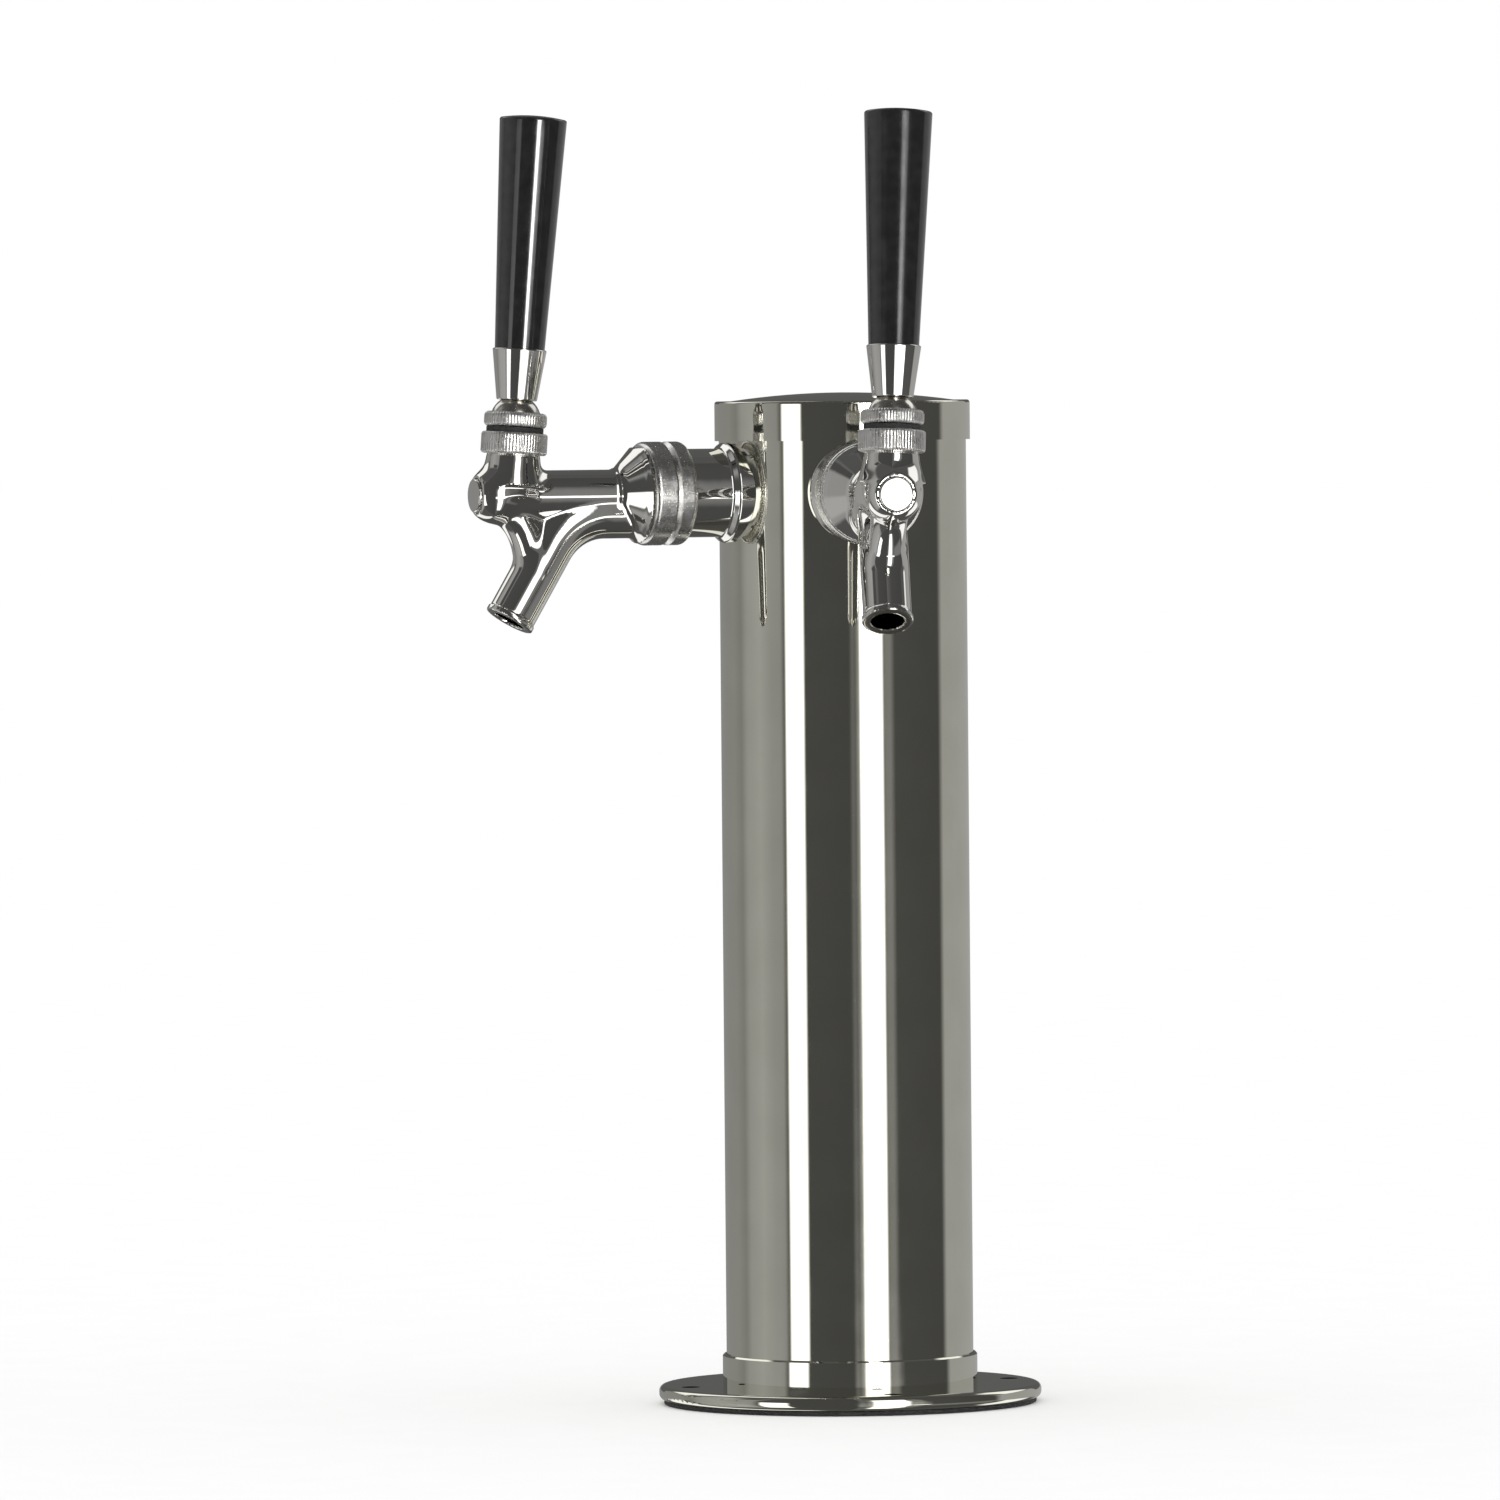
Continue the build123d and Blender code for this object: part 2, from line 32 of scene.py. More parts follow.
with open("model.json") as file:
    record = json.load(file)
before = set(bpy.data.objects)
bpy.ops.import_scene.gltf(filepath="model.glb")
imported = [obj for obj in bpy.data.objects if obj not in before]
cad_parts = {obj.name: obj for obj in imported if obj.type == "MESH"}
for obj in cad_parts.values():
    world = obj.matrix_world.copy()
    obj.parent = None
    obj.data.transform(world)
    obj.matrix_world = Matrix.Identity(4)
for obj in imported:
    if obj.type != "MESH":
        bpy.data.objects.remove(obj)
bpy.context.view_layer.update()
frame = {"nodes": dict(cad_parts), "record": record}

# ---------------------------------------------------------------- sizes, in millimetres
MM = 0.001
TAP_TURN = {"left": -37.8, "right": 37.8}  # each tap's direction, in degrees from the front
TAP_ROLL = {"left": 0.0, "right": -2.2}  # how far each tap leans sideways, in degrees
SHANK_HEIGHT = 281.0

# foam lining of the column
FOAM_OUTER, FOAM_INNER = 36.1, 26.4
FOAM_LOW, FOAM_HIGH = 6.4, 251.8
FOAM_ROWS, FOAM_SEGMENTS = 60, 96
FOAM_DENTS, FOAM_DROOP = 0.35, 0.5  # how uneven its bore and its top are
FOAM_SKIN = 0.1  # and its outside, inwards only

# tap body
BODY_TAIL, TAIL_RADIUS = 60.0, 13.0
NUT_END = 67.5
SHOULDER_RADIUS = 15.2
TUBE_START, TUBE_RADIUS = 75.0, 7.5
CHAMBER_RADIUS, SEAT_AT = 8.5, 71.0
BODY_BORE = 5.5
NOSE_CENTRE, NOSE_RADIUS, NOSE_FACE = 114.4, 8.6, 120.6
NOSE_BORE_START, NOSE_BORE = 112.6, 5.35
SPOUT_RADIUS, SPOUT_BORE = 7.4, 5.0
SPOUT_DROP, SPOUT_CORNER, SPOUT_TILT = 6.2, 90.9, 31.0
SPOUT_LENGTH, SPOUT_BEND = 37.6, 21.0
RIM, RIM_RADIUS, RIM_EDGE = 1.8, 7.8, 0.25  # the raised rim at the tip
STRUT_FROM, STRUT_PULL = (112.2, 0, -2.5), (103.4, 0, -8.0)
STRUT_FOOT = (20.5, 0.2)  # along and across the spout
STRUT_WAIST, STRUT_SPREAD, STRUT_STEPS = 5.5, 0.9, 24
WEB_LEFT, WEB_RIGHT, WEB_TOP = (80.0, -3.0), (107.0, -10.0), (108.0, 0.0)
WEB_SPAN = (3.0, 19.0)  # along the spout
WEB_HALF = 3.6

# neck and lever, with heights from the lever's pivot
LEAN, OPEN_ANGLE = 4.2, 25.0
PIVOT_OUT, PIVOT_RISE = 107.5, 22.8
NECK_RADIUS, NECK_TOP = 8.1, -5.7
CUP_RADIUS, CUP_FLOOR = 6.9, -9.0
FLARE_LOW, FLARE_HIGH, FLARE_RADIUS = -19.5, -11.6, 10.2
ARM_LENGTH = 21.5
ARM_ROOM, ARM_TAPER = 2.4, 0.4  # half the width of the slot that its arm swings in

# surface of the cast body
GRID = 0.42  # cell size
BOX_LOW, BOX_HIGH = (58, -17, -44), (125, 17, 20)


# ---------------------------------------------------------------- distance fields
def blend_union(a, b, soft):
    """The union of two fields, with a fillet of about that size where they meet."""
    h = np.clip(0.5 + 0.5 * (b - a) / soft, 0, 1)
    return b + (a - b) * h - soft * h * (1 - h)


def cut(a, b, soft=0.35):
    """Field a with b taken away, and the edge eased."""
    return -blend_union(-a, b, soft)


def both(a, b):
    """Where two fields overlap, with true distances off their shared edge."""
    return np.minimum(np.maximum(a, b), 0) + np.hypot(np.maximum(a, 0), np.maximum(b, 0))


def field_rod(p, start, end, low_radius, high_radius=None):
    """A cylinder or cone about X between two distances."""
    high_radius = low_radius if high_radius is None else high_radius
    along = np.clip((p[:, 0] - start) / (end - start), 0, 1)
    slope = (high_radius - low_radius) / (end - start)
    wall = np.hypot(p[:, 1], p[:, 2]) - (low_radius + (high_radius - low_radius) * along)
    wall = wall / math.hypot(1, slope)
    return both(wall, np.maximum(start - p[:, 0], p[:, 0] - end))


def field_ball(p, centre, radius):
    return np.linalg.norm(p - np.array(centre), axis=1) - radius


def field_path(p, path, radii):
    """A round tube along points, with a radius at each."""
    best = np.full(len(p), 1e9)
    for a, b, ra, rb in zip(path[:-1], path[1:], radii[:-1], radii[1:]):
        line = b - a
        t = np.clip((p - a) @ line / (line @ line), 0, 1)
        away = np.linalg.norm(p - a - t[:, None] * line, axis=1)
        best = np.minimum(best, away - (ra + (rb - ra) * t))
    return best


def field_plate(p, corners, half_thick):
    """A flat plate on the tap's upright plane, with a convex outline given anticlockwise."""
    edge = np.full(len(p), -1e9)
    for (x0, z0), (x1, z1) in zip(corners, corners[1:] + corners[:1]):
        length = math.hypot(x1 - x0, z1 - z0)
        edge = np.maximum(edge, ((p[:, 0] - x0) * (z1 - z0) - (p[:, 2] - z0) * (x1 - x0)) / length)
    return both(edge, np.abs(p[:, 1]) - half_thick)


def surface_net(field, low, high, step):
    """Quads on the surface where a field is zero, with each corner then moved exactly onto it."""
    axes = [np.arange(a, b + step, step) for a, b in zip(low, high)]
    shape = tuple(len(a) for a in axes)
    nodes = np.stack(np.meshgrid(*axes, indexing="ij"), axis=-1)
    value = field(nodes.reshape(-1, 3)).reshape(shape)
    inside = value < 0
    cells = tuple(n - 1 for n in shape)
    total, count = np.zeros(cells + (3,)), np.zeros(cells)
    corners = [(i, j, k) for i in (0, 1) for j in (0, 1) for k in (0, 1)]
    for a in corners:
        for axis in range(3):
            if a[axis]:
                continue
            b = tuple(1 if i == axis else v for i, v in enumerate(a))
            sa = tuple(slice(v, v + n) for v, n in zip(a, cells))
            sb = tuple(slice(v, v + n) for v, n in zip(b, cells))
            crossed = inside[sa] != inside[sb]
            t = np.where(crossed, value[sa] / np.where(crossed, value[sa] - value[sb], 1), 0)
            point = nodes[sa] + t[..., None] * (nodes[sb] - nodes[sa])
            total += point * crossed[..., None]
            count += crossed
    active = count > 0
    number = np.full(cells, -1)
    number[active] = np.arange(active.sum())
    verts = total[active] / count[active][:, None]
    faces = []
    for axis in range(3):
        u, v = (axis + 1) % 3, (axis + 2) % 3
        first = [slice(1, n) for n in cells]
        first[axis] = slice(0, cells[axis])
        second = list(first)
        second[axis] = slice(1, shape[axis])
        here, there = inside[tuple(first)], inside[tuple(second)]
        for sign in (True, False):
            at = np.argwhere((here == sign) & (there != sign))
            at[:, u] += 1
            at[:, v] += 1
            ring = []
            for du, dv in ((0, 0), (1, 0), (1, 1), (0, 1)):
                cell = at.copy()
                cell[:, u] -= du
                cell[:, v] -= dv
                ring.append(number[tuple(cell.T)])
            quad = np.stack(ring, axis=1)
            faces.append(quad if sign else quad[:, ::-1])
    for _ in range(4):
        verts = verts - onto(field, verts)
    return verts, np.concatenate(faces)


def onto(field, points, small=0.02):
    """The step that takes points to where the field is zero."""
    slope = np.stack([(field(points + small * e) - field(points - small * e)) / (2 * small)
                      for e in np.eye(3)], axis=1)
    steepness = np.maximum((slope**2).sum(axis=1), 0.25)
    return field(points)[:, None] * slope / steepness[:, None]


# ---------------------------------------------------------------- the cast body
def spout_point(along, across=0.0):
    """A point on the tap's plane, down the spout's axis from its corner and forwards across it."""
    tilt = math.radians(SPOUT_TILT)
    return np.array([SPOUT_CORNER + along * math.sin(tilt) + across * math.cos(tilt), 0,
                     -SPOUT_DROP - along * math.cos(tilt) + across * math.sin(tilt)])


def conduit(start, overrun=0.0):
    """The spout's centre line: out along the tube, round its bend and down to the tip."""
    turn = math.radians(90 - SPOUT_TILT)
    set_back = SPOUT_BEND * math.tan(turn / 2)
    centre = np.array([SPOUT_CORNER - set_back, 0, -SPOUT_DROP - SPOUT_BEND])
    bend = [centre + SPOUT_BEND * np.array([math.sin(a), 0, math.cos(a)])
            for a in np.linspace(0, turn, 17)]
    return [np.array([start, 0, -SPOUT_DROP]), *bend, spout_point(SPOUT_LENGTH + overrun)]


def curve_through(points, count):
    """A smooth line from the first point to the last of three, pulled towards the middle one."""
    a, b, c = (np.array(q, float) for q in points)
    return [a * (1 - t) ** 2 + 2 * b * t * (1 - t) + c * t * t for t in np.linspace(0, 1, count)]


def to_neck(p):
    """Points in the neck's own frame: origin at the lever's pivot, Z up the neck."""
    lean = math.radians(LEAN)
    x, z = p[:, 0] - PIVOT_OUT, p[:, 2] - PIVOT_RISE
    return np.stack([x * math.cos(lean) + z * math.sin(lean), p[:, 1],
                     z * math.cos(lean) - x * math.sin(lean)], axis=1)


def to_spout(p):
    """Points in the spout's own frame: X down its axis from its corner."""
    tilt = math.radians(SPOUT_TILT)
    x, z = p[:, 0] - SPOUT_CORNER, p[:, 2] + SPOUT_DROP
    return np.stack([x * math.sin(tilt) - z * math.cos(tilt), p[:, 1],
                     x * math.cos(tilt) + z * math.sin(tilt)], axis=1)


def turned_upright(p):
    """The same points with Z swapped for X, so that field_rod works about Z."""
    return p[:, [2, 1, 0]]


def outside_field(p):
    tail = field_rod(p, BODY_TAIL, NUT_END + 1, TAIL_RADIUS)
    tube = np.minimum(tail, field_rod(p, BODY_TAIL, NOSE_CENTRE, TUBE_RADIUS))
    shoulder = field_rod(p, NUT_END + 0.5, TUBE_START + 0.4,
                         SHOULDER_RADIUS - 0.5, TUBE_RADIUS - 0.6) - 0.45
    body = blend_union(tube, shoulder, 1.6)
    path = conduit(TUBE_START - 6)
    body = blend_union(body, field_path(p, path, [SPOUT_RADIUS] * len(path)), 1.2)
    rim = field_rod(to_spout(p), SPOUT_LENGTH - RIM + RIM_EDGE, SPOUT_LENGTH + 2,
                    RIM_RADIUS - RIM_EDGE) - RIM_EDGE
    body = blend_union(body, rim, 0.3)
    body = blend_union(body, field_ball(p, (NOSE_CENTRE, 0, 0), NOSE_RADIUS), 1.0)
    strut = curve_through([STRUT_FROM, STRUT_PULL, spout_point(*STRUT_FOOT)], STRUT_STEPS)
    widths = [STRUT_WAIST + STRUT_SPREAD * (1 - 2 * t) ** 2 for t in np.linspace(0, 1, STRUT_STEPS)]
    body = blend_union(body, field_path(p, strut, widths), 1.4)
    near, far = (spout_point(along)[::2] for along in WEB_SPAN)
    web = field_plate(p, [WEB_LEFT, near, far, WEB_RIGHT, WEB_TOP], WEB_HALF)
    body = blend_union(body, web, 2.2)
    neck = turned_upright(to_neck(p))
    collar = field_rod(neck, -23.0, NECK_TOP, NECK_RADIUS)
    flare = field_rod(neck, FLARE_LOW, FLARE_HIGH, FLARE_RADIUS, NECK_RADIUS - 0.4) - 0.2
    head = blend_union(collar, flare, 1.2)
    return blend_union(body, head, 2.4)


def hollow_field(p):
    """What is bored out of the body: valve chamber, shaft's bore, spout and the lever's cup."""
    bores = field_rod(p, BODY_TAIL - 5, SEAT_AT, CHAMBER_RADIUS)
    bores = np.minimum(bores, field_rod(p, SEAT_AT - 1, NOSE_BORE_START, BODY_BORE))
    bores = np.minimum(bores, field_rod(p, NOSE_BORE_START - 1, NOSE_FACE + 5, NOSE_BORE))
    path = conduit(SEAT_AT + 6, overrun=8)
    bores = np.minimum(bores, field_path(p, path, [SPOUT_BORE] * len(path)))
    neck = to_neck(p)
    cup = field_rod(turned_upright(neck), CUP_FLOOR, NECK_TOP + 5, CUP_RADIUS)
    reach = ARM_LENGTH * math.tan(math.radians(OPEN_ANGLE))
    swing = field_plate(neck, [(0.0, 0.0), (-reach, -ARM_LENGTH), (0.0, -ARM_LENGTH)], ARM_ROOM)
    for angle in (0.0, math.radians(OPEN_ANGLE)):
        down = np.array([-math.sin(angle), 0, -math.cos(angle)])
        end = field_path(neck, [4 * down, ARM_LENGTH * down], [ARM_ROOM, ARM_ROOM - ARM_TAPER])
        swing = np.minimum(swing, end)
    return np.minimum(bores, np.minimum(cup, swing))


def body_field(p):
    shape = cut(outside_field(p), SPOUT_LENGTH - to_spout(p)[:, 0], 0.5)
    shape = cut(shape, NOSE_FACE - p[:, 0], 0.5)
    shape = cut(shape, p[:, 0] - BODY_TAIL, 0.3)
    shape = cut(shape, to_neck(p)[:, 2] * -1 + NECK_TOP, 0.4)
    return cut(shape, hollow_field(p), 0.4)


# ---------------------------------------------------------------- placing pieces
def tap_frame(side):
    """From a tap's own millimetres to the model's metres."""
    turn = Matrix.Rotation(math.radians(TAP_TURN[side] - 90), 4, "Z")
    roll = Matrix.Rotation(math.radians(TAP_ROLL[side]), 4, "X")
    return turn @ Matrix.Translation((0, 0, SHANK_HEIGHT * MM)) @ roll @ Matrix.Scale(MM, 4)


def mesh_piece(name, verts, faces, place, body, smooth_angle=35):
    mesh = bpy.data.meshes.new(name)
    mesh.from_pydata([tuple(v) for v in verts], [], [tuple(f) for f in faces])
    mesh.transform(place)
    mesh.validate()
    mesh.update()
    mesh.shade_smooth()
    mesh.set_sharp_from_angle(angle=math.radians(smooth_angle))
    piece = bpy.data.objects.new(name, mesh)
    bpy.context.scene.collection.objects.link(piece)
    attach(piece, body)
    return piece


def cast_bodies():
    step = GRID
    verts, faces = surface_net(body_field, BOX_LOW, BOX_HIGH, step)
    for side in TAP_TURN:
        body = mesh_piece(side + "_cast_body", verts, faces, tap_frame(side), "tower")
        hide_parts(side + "_tap_body")
        body.data.materials.append(MATERIALS["polished_chrome"])


def foam_lining():
    """The foam tube inside the column: its bore and cut ends aren't quite even."""
    heights = [FOAM_LOW + (FOAM_HIGH - FOAM_LOW) * i / FOAM_ROWS for i in range(FOAM_ROWS + 1)]
    outline = [(FOAM_OUTER, z) for z in heights] + [(FOAM_INNER, z) for z in reversed(heights)]
    verts, count = [], len(outline)
    for step in range(FOAM_SEGMENTS):
        turn = 2 * math.pi * step / FOAM_SEGMENTS
        for radius, z in outline:
            place = Vector((math.cos(turn), math.sin(turn), z / 40))
            uneven = bumps(place * 3) + 0.4 * bumps(place * 14)
            shift = FOAM_DENTS * uneven if radius == FOAM_INNER else -FOAM_SKIN * abs(uneven)
            droop = FOAM_DROOP * abs(uneven) if z == FOAM_HIGH else 0.0
            out = radius + shift
            verts.append((out * math.cos(turn), out * math.sin(turn), z - droop))
    faces = []
    for step in range(FOAM_SEGMENTS):
        here, there = step * count, (step + 1) % FOAM_SEGMENTS * count
        for i in range(count):
            j = (i + 1) % count
            faces.append((here + i, there + i, there + j, here + j))
    lining = mesh_piece("foam_lining", verts, faces, Matrix.Scale(MM, 4), "tower")
    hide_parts("insulation_sleeve")
    lining.data.materials.append(MATERIALS["grey_foam"])


# ---------------------------------------------------------------- materials
def material(name):
    """A new node material: its tree, its shader and itself."""
    made = bpy.data.materials.new(name)
    made.use_nodes = True
    shader = made.node_tree.nodes["Principled BSDF"]
    return made.node_tree, shader, made


def node(tree, kind, **settings):
    """A new node, with its sockets or settings given by name."""
    made = tree.nodes.new(kind)
    for key, value in settings.items():
        if key in made.inputs:
            made.inputs[key].default_value = value
        else:
            setattr(made, key, value)
    return made


def link_math(tree, operation, *values):
    """A math node of sockets and plain numbers."""
    made = node(tree, "ShaderNodeMath", operation=operation)
    for place, value in zip(made.inputs, values):
        if isinstance(value, (int, float)):
            place.default_value = value
        else:
            tree.links.new(value, place)
    return made.outputs[0]


def noise(tree, scale, detail=3.0):
    place = node(tree, "ShaderNodeTexCoord")
    made = node(tree, "ShaderNodeTexNoise", Scale=scale, Detail=detail)
    tree.links.new(place.outputs["Object"], made.inputs["Vector"])
    return made.outputs["Fac"]


def spread(tree, value, low, high):
    """Value, which runs from about 0.3 to 0.7, taken to low and high."""
    made = node(tree, "ShaderNodeMapRange")
    for key, number in (("From Min", 0.3), ("From Max", 0.7), ("To Min", low), ("To Max", high)):
        made.inputs[key].default_value = number
    tree.links.new(value, made.inputs["Value"])
    return made.outputs["Result"]


def tint(tree, shader, value, dark, light):
    ramp = node(tree, "ShaderNodeValToRGB")
    ramp.color_ramp.elements[0].position, ramp.color_ramp.elements[1].position = 0.35, 0.65
    ramp.color_ramp.elements[0].color, ramp.color_ramp.elements[1].color = (*dark, 1), (*light, 1)
    tree.links.new(value, ramp.inputs["Fac"])
    tree.links.new(ramp.outputs["Color"], shader.inputs["Base Color"])


def bump(tree, shader, heights):
    """Bumps of (value, height in metres), one over another."""
    last = None
    for value, height in heights:
        made = node(tree, "ShaderNodeBump", Strength=1.0, Distance=height)
        tree.links.new(value, made.inputs["Height"])
        if last:
            tree.links.new(last.outputs["Normal"], made.inputs["Normal"])
        last = made
    tree.links.new(last.outputs["Normal"], shader.inputs["Normal"])


def metal(name, dark, light, rough, ripple):
    """A polished metal: slow ripple in the surface, fine polishing marks and patches of haze."""
    tree, shader, made = material(name)
    shader.inputs["Metallic"].default_value = 1.0
    tint(tree, shader, noise(tree, 60, 4), dark, light)
    tree.links.new(spread(tree, noise(tree, 90, 6), *rough), shader.inputs["Roughness"])
    bump(tree, shader, [(noise(tree, 120, 2), ripple), (noise(tree, 2600, 2), ripple / 40)])
    return made


def neck_frame(side):
    """From metres about a lever's pivot, Z up the neck, to the model's."""
    pivot = tap_frame(side) @ Matrix.Translation((PIVOT_OUT, 0, PIVOT_RISE))
    return pivot @ Matrix.Scale(1 / MM, 4) @ Matrix.Rotation(math.radians(-LEAN), 4, "Y")


def nut_frame(side):
    """From metres about a shank, Z along it, to the model's."""
    return tap_frame(side) @ Matrix.Scale(1 / MM, 4) @ Matrix.Rotation(math.radians(90), 4, "Y")


def knurled_chrome(name, frame_of, ridges, depth, rough, grain):
    """Satin chrome with a fine straight knurl about the Z axis of a frame."""
    tree, shader, made = material(name)
    shader.inputs["Metallic"].default_value = 1.0
    tint(tree, shader, noise(tree, 500, 5), (0.70, 0.69, 0.66), (0.80, 0.79, 0.77))
    tree.links.new(spread(tree, noise(tree, 400, 5), *rough), shader.inputs["Roughness"])
    place = node(tree, "ShaderNodeTexCoord")
    mapping = node(tree, "ShaderNodeMapping", vector_type="TEXTURE")
    mapping.inputs["Location"].default_value = frame_of.to_translation()
    mapping.inputs["Rotation"].default_value = frame_of.to_euler()
    tree.links.new(place.outputs["Object"], mapping.inputs["Vector"])
    apart = node(tree, "ShaderNodeSeparateXYZ")
    tree.links.new(mapping.outputs["Vector"], apart.inputs["Vector"])
    around = link_math(tree, "ARCTAN2", apart.outputs["Y"], apart.outputs["X"])
    ridge = link_math(tree, "SINE", link_math(tree, "MULTIPLY", around, ridges))
    bump(tree, shader, [(ridge, depth), (noise(tree, 1800, 3), grain)])
    return made


def soft_material(name, dark, light, rough, scale, height):
    """Rubber, nylon or foam: speckled colour and a moulded grain."""
    tree, shader, made = material(name)
    tint(tree, shader, noise(tree, scale, 5), dark, light)
    tree.links.new(spread(tree, noise(tree, scale / 3, 4), *rough), shader.inputs["Roughness"])
    bump(tree, shader, [(noise(tree, scale, 3), height)])
    return made


def gloss_black():
    tree, shader, made = material("gloss_black")
    tint(tree, shader, noise(tree, 300, 3), (0.010, 0.010, 0.011), (0.016, 0.016, 0.017))
    tree.links.new(spread(tree, noise(tree, 150, 5), 0.10, 0.18), shader.inputs["Roughness"])
    shader.inputs["Coat Weight"].default_value = 0.5
    shader.inputs["Coat Roughness"].default_value = 0.05
    bump(tree, shader, [(noise(tree, 220, 2), 0.00001)])
    return made


def make_materials():
    """Tints run from dark to light, then roughness from least to most, then bump in metres."""
    made = {
        "polished_steel": metal("polished_steel", (0.72, 0.71, 0.62), (0.76, 0.75, 0.66),
                                (0.02, 0.06), 0.000002),
        "polished_chrome": metal("polished_chrome", (0.74, 0.73, 0.69), (0.78, 0.77, 0.74),
                                 (0.02, 0.06), 0.000016),
        "plated_brass": metal("plated_brass", (0.60, 0.58, 0.54), (0.68, 0.66, 0.61),
                              (0.12, 0.24), 0.00001),
        "steel_fitting": metal("steel_fitting", (0.50, 0.50, 0.48), (0.60, 0.60, 0.58),
                               (0.2, 0.34), 0.00001),
        "brass": metal("brass", (0.62, 0.44, 0.18), (0.74, 0.56, 0.28), (0.2, 0.35), 0.00001),
        "gloss_black": gloss_black(),
        "black_plastic": soft_material("black_plastic", (0.02, 0.02, 0.02), (0.04, 0.04, 0.04),
                                       (0.4, 0.6), 900, 0.00002),
        "black_rubber": soft_material("black_rubber", (0.012, 0.012, 0.012), (0.03, 0.03, 0.03),
                                      (0.6, 0.85), 1400, 0.00003),
        "grey_foam": soft_material("grey_foam", (0.07, 0.07, 0.07), (0.16, 0.16, 0.16),
                                   (0.85, 0.98), 700, 0.0004),
    }
    for side in TAP_TURN:
        made[side + "_neck"] = knurled_chrome(side + "_knurled_chrome", neck_frame(side),
                                              64, 0.00006, (0.22, 0.4), 0.00001)
        made[side + "_nut"] = knurled_chrome(side + "_satin_chrome", nut_frame(side),
                                             96, 0.000003, (0.2, 0.32), 0.000002)
    return made


MATERIALS = make_materials()
KNURLED = {"bonnet": "neck", "neck_ring": "neck", "coupling_nut": "nut"}


def dress_frame():
    """Each node of the frame takes the finish of its slot, apart from the knurled pieces."""
    slots = {part["node"]: part["material_slot"] for part in frame["record"]["subparts"]}
    for name, piece in frame["nodes"].items():
        side, _, part = name.partition("_")
        finish = f"{side}_{KNURLED[part]}" if part in KNURLED else slots[name]
        for place in piece.material_slots:
            place.material = MATERIALS[finish]


# ---------------------------------------------------------------- studio
CAMERA_FROM = (2.0546, -3.5302, 0.3153)
CAMERA_AT = (-0.034, 0.0, 0.201)
CAMERA_LENS = 318.0
CAMERA_ROLL = -0.5
PHOTO_SIDE = 30.2  # the photographed side's direction, in degrees from the front
BACKDROP = 1.0  # brightness behind the tower, and of the floor
FLOOR_TONE, FLOOR_MOTTLE = 0.81, 0.004
FLOOR_HALF, FLOOR_DROP = 30.0, 0.0002

# The studio as polished metal sees it. Angles are in degrees: round from the photographed side, to
# the right, and up from level. Walls are (angle round, brightness). Each panel after them is
# (from, to, lowest, highest, brightness, softness of its edge), and hides those before it.
WALLS = [(-180, 0.27), (-125, 0.29), (-112, 0.25), (-104, 0.36), (-86, 0.42), (-72, 0.34),
         (-62, 0.32), (-57, 0.08), (4, 0.07), (7, 0.17), (10, 0.14), (40, 0.08), (98, 0.07),
         (104, 0.40), (180, 0.40)]
PANELS = [
    # dark ceiling and dark ground, round the back and to the left
    (-190, -112, 18, 95, 0.10, 4), (-190, -112, -95, -16, 0.09, 4),
    (98, 190, 18, 95, 0.10, 4), (98, 190, -95, -16, 0.09, 4),
    (-112, -58, 46, 95, 0.10, 4), (-112, -58, -95, -45, 0.10, 4),
    # soft boxes at the back
    (112, 146, -46, -17, 1.2, 3), (112, 146, 20, 46, 1.2, 3),
    (-150, -122, -78, -17, 1.2, 3), (-150, -122, 20, 78, 1.2, 3),
    # dark card right behind
    (-190, -150, 2, 95, 0.11, 1), (150, 190, 2, 95, 0.11, 1),
    # details of the side walls
    (-84, -63, 32, 46, 0.08, 3), (-80, -64, -36, -6, 0.46, 4), (50, 100, -28, -10, 0.22, 4),
    # dim edges of the right-hand soft box
    (11, 14, -60, 42, 0.30, 1.5), (37, 46, -60, 42, 0.24, 3),
    # the two tall soft boxes in front, a low shelf of light, and the lamp's hot middle
    (-56.5, -38, -38, 2.5, 1.8, 1.6), (14, 36.5, -62, 43, 1.9, 1.6),
    (5, 50, -13, -6, 2.6, 2), (17.5, 28.5, -5.5, 2.0, 28.0, 1.5)]


def along_direction(tree, place, direction):
    made = node(tree, "ShaderNodeVectorMath", operation="DOT_PRODUCT")
    tree.links.new(place, made.inputs[0])
    made.inputs[1].default_value = direction
    return made.outputs["Value"]


def past(tree, value, angle, edge):
    """Rises from 0 to 1 as value passes an angle, over a soft edge."""
    made = node(tree, "ShaderNodeMapRange", interpolation_type="SMOOTHSTEP")
    made.inputs["From Min"].default_value = math.radians(angle - edge)
    made.inputs["From Max"].default_value = math.radians(angle + edge)
    tree.links.new(value, made.inputs["Value"])
    return made.outputs["Result"]


def between(tree, value, low, high, edge):
    """1 from one angle to another, and 0 outside them."""
    return link_math(tree, "SUBTRACT", past(tree, value, low, edge), past(tree, value, high, edge))


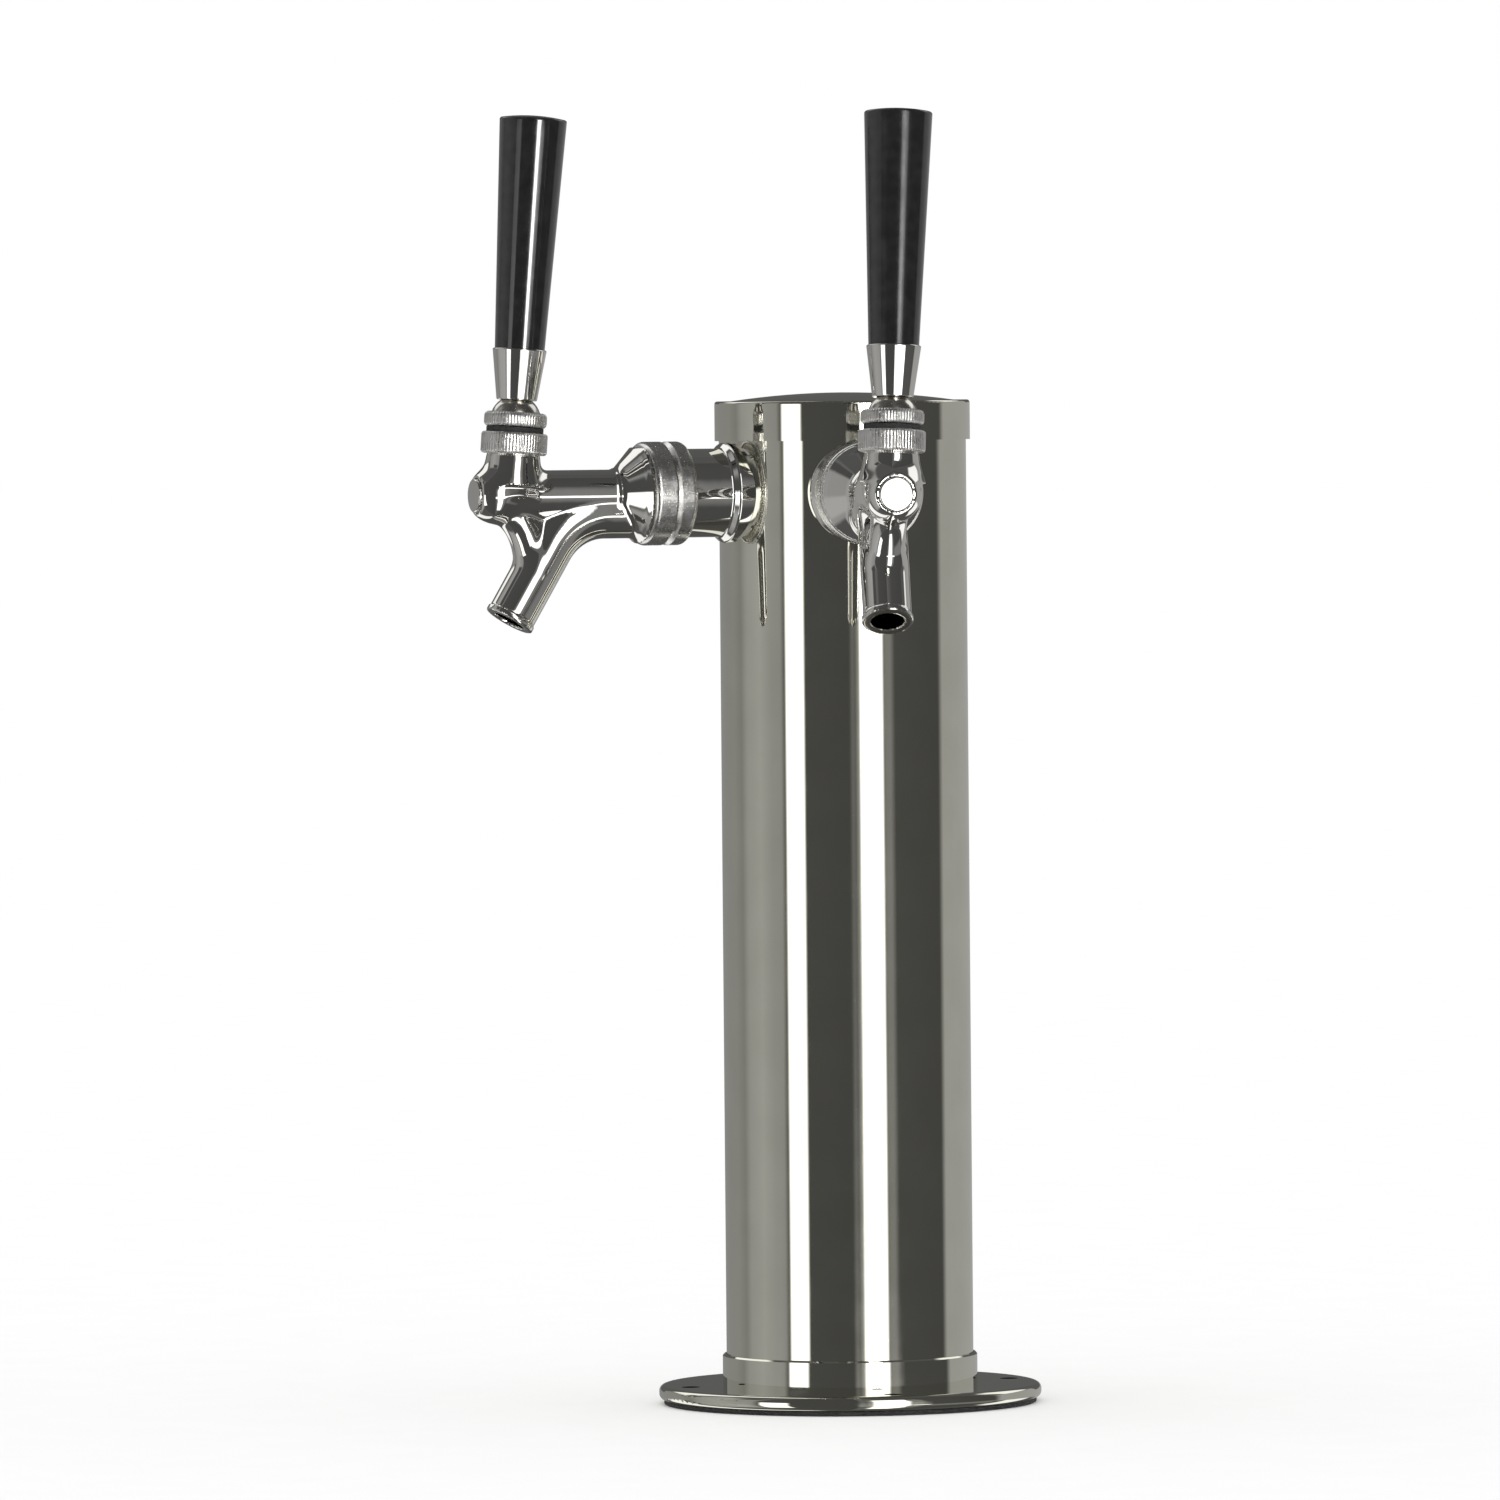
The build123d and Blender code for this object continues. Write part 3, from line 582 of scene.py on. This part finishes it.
def studio_brightness(tree):
    """Brightness of the studio in a direction: grey walls, with soft boxes and dark cards."""
    place = node(tree, "ShaderNodeTexCoord").outputs["Generated"]
    turn = math.radians(PHOTO_SIDE)
    right = along_direction(tree, place, (math.cos(turn), math.sin(turn), 0))
    ahead = along_direction(tree, place, (math.sin(turn), -math.cos(turn), 0))
    around = link_math(tree, "ARCTAN2", right, ahead)
    upward = link_math(tree, "ARCSINE", along_direction(tree, place, (0, 0, 1)))
    ramp = node(tree, "ShaderNodeValToRGB")
    stops = ramp.color_ramp.elements
    stops.remove(stops[1])
    for angle, bright in WALLS:
        stop = stops[0] if angle == WALLS[0][0] else stops.new((angle + 180) / 360)
        stop.color = (bright, bright, bright, 1)
    tree.links.new(link_math(tree, "MULTIPLY_ADD", around, 0.5 / math.pi, 0.5), ramp.inputs["Fac"])
    bright = ramp.outputs["Color"]
    for start, end, low, high, level, edge in PANELS:
        across = between(tree, around, start, end, edge)
        rise = between(tree, upward, low, high, edge)
        mix = node(tree, "ShaderNodeMix", data_type="FLOAT")
        mix.inputs["B"].default_value = level
        tree.links.new(link_math(tree, "MULTIPLY", across, rise), mix.inputs["Factor"])
        tree.links.new(bright, mix.inputs["A"])
        bright = mix.outputs["Result"]
    return bright


def studio_world():
    """Even white light, except that the first reflections in polished surfaces see the studio."""
    world = bpy.data.worlds.new("studio")
    bpy.context.scene.world = world
    world.use_nodes = True
    world.cycles.sampling_method = "NONE"
    tree = world.node_tree
    tree.nodes.clear()
    link = tree.links.new
    path = node(tree, "ShaderNodeLightPath")
    gloss = node(tree, "ShaderNodeBackground")
    link(studio_brightness(tree), gloss.inputs["Color"])
    plain = node(tree, "ShaderNodeBackground")
    plain.inputs["Color"].default_value = (BACKDROP, BACKDROP, BACKDROP, 1)
    link(link_math(tree, "MULTIPLY_ADD", path.outputs["Is Diffuse Ray"], 1 / FLOOR_TONE - 1, 1),
         plain.inputs["Strength"])
    first = link_math(tree, "LESS_THAN", path.outputs["Diffuse Depth"], 0.5)
    mix = node(tree, "ShaderNodeMixShader")
    link(link_math(tree, "MULTIPLY", path.outputs["Is Glossy Ray"], first), mix.inputs["Fac"])
    link(plain.outputs[0], mix.inputs[1])
    link(gloss.outputs[0], mix.inputs[2])
    link(mix.outputs[0], node(tree, "ShaderNodeOutputWorld").inputs["Surface"])


def floor():
    """A wide pale floor, just under the gasket."""
    half = FLOOR_HALF
    corners = [(-half, -half, 0), (half, -half, 0), (half, half, 0), (-half, half, 0)]
    mesh = bpy.data.meshes.new("floor")
    mesh.from_pydata(corners, [], [(0, 1, 2, 3)])
    ground = bpy.data.objects.new("floor", mesh)
    bpy.context.scene.collection.objects.link(ground)
    ground.location.z = -FLOOR_DROP
    ground.visible_glossy = False
    tree, shader, made = material("floor")
    shader.inputs["Specular IOR Level"].default_value = 0.0
    low, high = FLOOR_TONE - FLOOR_MOTTLE, FLOOR_TONE + FLOOR_MOTTLE
    tint(tree, shader, noise(tree, 40, 3), (low, low, low), (high, high, high))
    tree.links.new(spread(tree, noise(tree, 5, 3), 0.8, 0.9), shader.inputs["Roughness"])
    mesh.materials.append(made)


def camera():
    data = bpy.data.cameras.new("camera")
    data.lens = CAMERA_LENS
    data.sensor_width = 36.0
    data.clip_end = 200
    made = bpy.data.objects.new("camera", data)
    bpy.context.scene.collection.objects.link(made)
    away = Vector(CAMERA_FROM) - Vector(CAMERA_AT)
    made.rotation_mode = "QUATERNION"
    roll = Matrix.Rotation(math.radians(CAMERA_ROLL), 3, "Z").to_quaternion()
    made.rotation_quaternion = away.to_track_quat("Z", "Y") @ roll
    made.location = CAMERA_FROM
    bpy.context.scene.camera = made


bpy.context.scene.view_settings.view_transform = "Standard"
dress_frame()
cast_bodies()
foam_lining()
studio_world()
floor()
camera()
